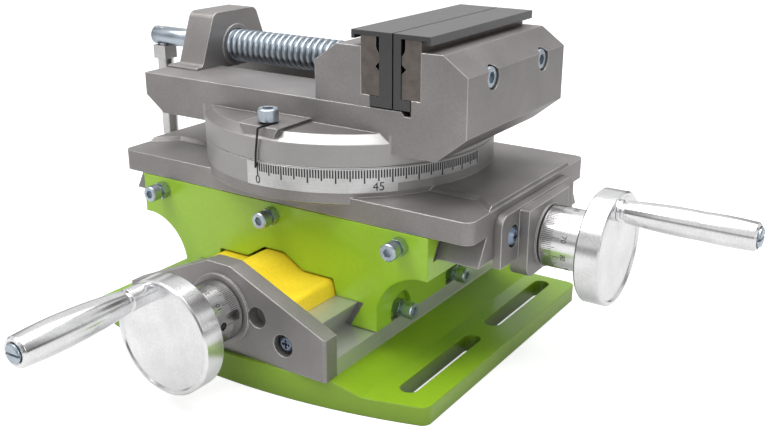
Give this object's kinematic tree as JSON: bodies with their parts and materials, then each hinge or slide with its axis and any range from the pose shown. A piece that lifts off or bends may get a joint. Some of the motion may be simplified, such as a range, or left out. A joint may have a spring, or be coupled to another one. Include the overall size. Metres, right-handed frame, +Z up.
{
  "type": "cross slide vise",
  "caption": "Swivel vise on a compound cross slide: two dovetail slides moved by crank wheels and lead screws, on a slotted bolt-down base.",
  "frame": {"origin": "centre of the base's underside, on the bench", "axes": "+X along the upper slide towards its crank, +Y along the lower slide away from its crank, +Z up"},
  "size_m": [0.356, 0.2857, 0.1644],
  "materials": {
    "green_paint": "glossy lime green enamel on a casting",
    "grey_casting": "blasted satin casting with lightly milled faces",
    "polished_aluminium": "turned and polished",
    "yellow_plastic": "smooth moulded, slightly glossy",
    "black_plastic": "matt moulded, slightly soft",
    "bright_steel": "turned or ground, bare",
    "zinc_steel": "bright bluish zinc plate",
    "jaw_steel": "ground, slightly brown",
    "dark_steel": "blackened",
    "scale_metal": "satin strip with printed black divisions",
    "bronze": "machined, bare"
  },
  "bodies": {
    "base": {"base_casting": "green_paint", "end_plate": "grey_casting", "end_plate_screws": "zinc_steel", "front_screw_cover": "yellow_plastic", "rear_screw_cover": "yellow_plastic"},
    "lower_screw": {"lower_lead_screw": "bright_steel", "lower_thrust_collar": "bright_steel", "lower_graduated_collar": "polished_aluminium", "lower_collar_set_screw": "dark_steel", "lower_crank_wheel": "polished_aluminium", "lower_grip_screw": "zinc_steel"},
    "lower_grip": {"lower_crank_grip": "polished_aluminium"},
    "saddle": {"saddle_casting": "green_paint", "lower_gib_strip": "bright_steel", "lower_gib_screws": "zinc_steel", "lower_gib_nuts": "zinc_steel", "upper_gib_strip": "bright_steel", "upper_gib_screws": "zinc_steel", "upper_gib_nuts": "zinc_steel", "lower_lead_nut": "bronze", "lower_nut_screws": "zinc_steel", "upper_lead_nut": "bronze", "upper_nut_screws": "zinc_steel"},
    "table": {"slide_table": "grey_casting", "degree_scale": "scale_metal", "end_bracket": "grey_casting", "bracket_screws": "zinc_steel", "swivel_pivot": "bright_steel"},
    "upper_screw": {"upper_lead_screw": "bright_steel", "upper_thrust_collar": "bright_steel", "upper_graduated_collar": "polished_aluminium", "upper_collar_set_screw": "dark_steel", "upper_crank_wheel": "polished_aluminium", "upper_grip_screw": "zinc_steel"},
    "upper_grip": {"upper_crank_grip": "polished_aluminium"},
    "vise": {"vise_body": "grey_casting", "swivel_clamp_screws": "zinc_steel", "swivel_clamp_nuts": "bright_steel", "angle_pointer": "dark_steel", "screw_bracket": "grey_casting", "bracket_bolts": "zinc_steel", "fixed_jaw_plate": "jaw_steel", "fixed_jaw_cover": "black_plastic", "fixed_jaw_screws": "zinc_steel"},
    "jaw": {"movable_jaw": "grey_casting", "movable_jaw_plate": "jaw_steel", "movable_jaw_cover": "black_plastic", "movable_jaw_screws": "zinc_steel", "jaw_keeper": "bright_steel", "keeper_screws": "zinc_steel", "screw_retainer": "dark_steel"},
    "vise_screw": {"vise_screw": "zinc_steel", "handle_bar": "bright_steel", "handle_grub_screw": "dark_steel"}
  },
  "joints": [
    {"name": "lower_crank_turn", "type": "hinge", "parent": "base", "child": "lower_screw", "pos_m": [0, -0.125, 0.0361], "axis": [0, 1, 0], "range_deg": [-2020, 4470]},
    {"name": "lower_grip_turn", "type": "hinge", "parent": "lower_screw", "child": "lower_grip", "pos_m": [-0.00964, -0.15, 0.05543], "axis": [0, 1, 0], "continuous": true},
    {"name": "saddle_slide", "type": "slide", "parent": "base", "child": "saddle", "axis": [0, 1, 0], "range_m": [-0.031, 0.014]},
    {"name": "table_slide", "type": "slide", "parent": "saddle", "child": "table", "axis": [1, 0, 0], "range_m": [-0.02, 0.045]},
    {"name": "upper_crank_turn", "type": "hinge", "parent": "table", "child": "upper_screw", "pos_m": [0.15, 0.0063, 0.0661], "axis": [1, 0, 0], "range_deg": [-2885, 6485]},
    {"name": "upper_grip_turn", "type": "hinge", "parent": "upper_screw", "child": "upper_grip", "pos_m": [0.16, 0.00071, 0.08696], "axis": [1, 0, 0], "continuous": true},
    {"name": "vise_swivel", "type": "hinge", "parent": "table", "child": "vise", "pos_m": [0.00345, 0.0063, 0.103], "axis": [0, 0, 1], "range_deg": [-90, 90]},
    {"name": "jaw_slide", "type": "slide", "parent": "vise", "child": "jaw", "axis": [1, 0, 0], "range_m": [-0.08, 0]},
    {"name": "vise_screw_turn", "type": "hinge", "parent": "jaw", "child": "vise_screw", "pos_m": [0.00345, 0.0063, 0.1392], "axis": [1, 0, 0], "range_deg": [-7205, 5]}
  ],
  "couplings": [
    {"joint": "lower_crank_turn", "follows": "saddle_slide", "rad_per_m": -2513.3},
    {"joint": "upper_crank_turn", "follows": "table_slide", "rad_per_m": 2513.3},
    {"joint": "vise_screw_turn", "follows": "jaw_slide", "rad_per_m": 1570.8}
  ]
}
